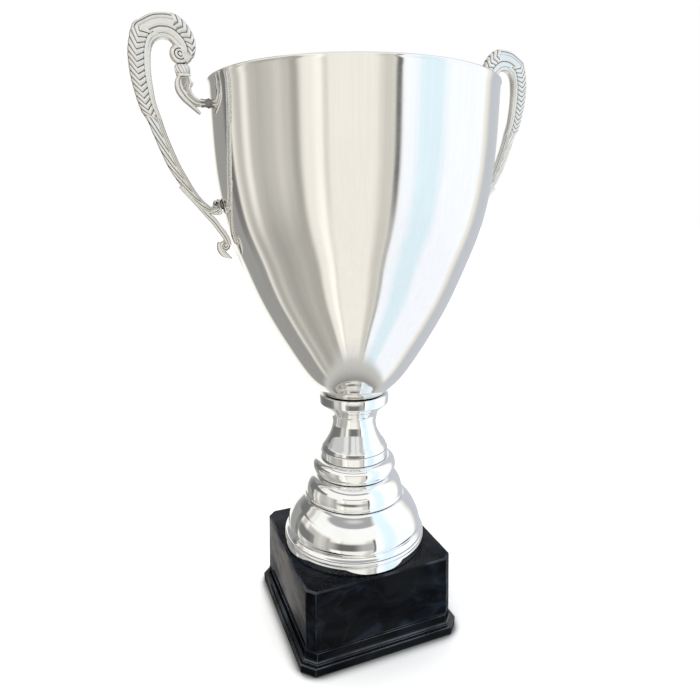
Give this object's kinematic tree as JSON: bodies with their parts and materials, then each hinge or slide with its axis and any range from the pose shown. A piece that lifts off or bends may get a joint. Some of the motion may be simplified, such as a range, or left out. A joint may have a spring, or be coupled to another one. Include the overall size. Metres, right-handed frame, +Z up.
{
  "type": "trophy cup",
  "caption": "Tall polished metal trophy cup with leaf-scroll side handles on a turned chrome stem and a square black plinth.",
  "frame": {"origin": "on the floor under the cup's axis", "axes": "+Z up the cup's axis, X along the line of the two handles, -Y towards the plinth's front face"},
  "size_m": [0.2888, 0.1984, 0.4495],
  "materials": {
    "bowl_metal": "polished nickel plate with faint spinning and buffing lines",
    "stem_chrome": "bright mirror chrome",
    "handle_metal": "satin cast nickel, darker in the recesses",
    "plinth_black": "gloss black with faint grey marble clouds",
    "hardware": "zinc plated",
    "ballast": "rough cast cement",
    "rubber": "matt black",
    "felt": "short black felt"
  },
  "bodies": {
    "root": {"bowl": "bowl_metal", "bowl_gasket": "rubber", "bowl_washer": "hardware", "bowl_nut": "hardware", "tie_rod": "hardware", "stem_collar": "stem_chrome", "stem_neck": "stem_chrome", "stem_band": "stem_chrome", "stem_knop": "stem_chrome", "foot_shoulder": "stem_chrome", "foot_dome": "stem_chrome", "foot_ring": "stem_chrome", "plinth_casing": "plinth_black", "plinth_base": "plinth_black", "ballast_disc": "ballast", "base_washer": "hardware", "base_nut": "hardware", "base_felt": "felt", "base_screw_1": "hardware", "base_screw_2": "hardware", "base_screw_3": "hardware", "base_screw_4": "hardware", "handle_left": "handle_metal", "handle_right": "handle_metal", "handle_screw_left_lower": "hardware", "handle_screw_left_upper": "hardware", "handle_screw_right_lower": "hardware", "handle_screw_right_upper": "hardware", "handle_washer_left_lower": "hardware", "handle_washer_left_upper": "hardware", "handle_washer_right_lower": "hardware", "handle_washer_right_upper": "hardware"}
  },
  "joints": []
}
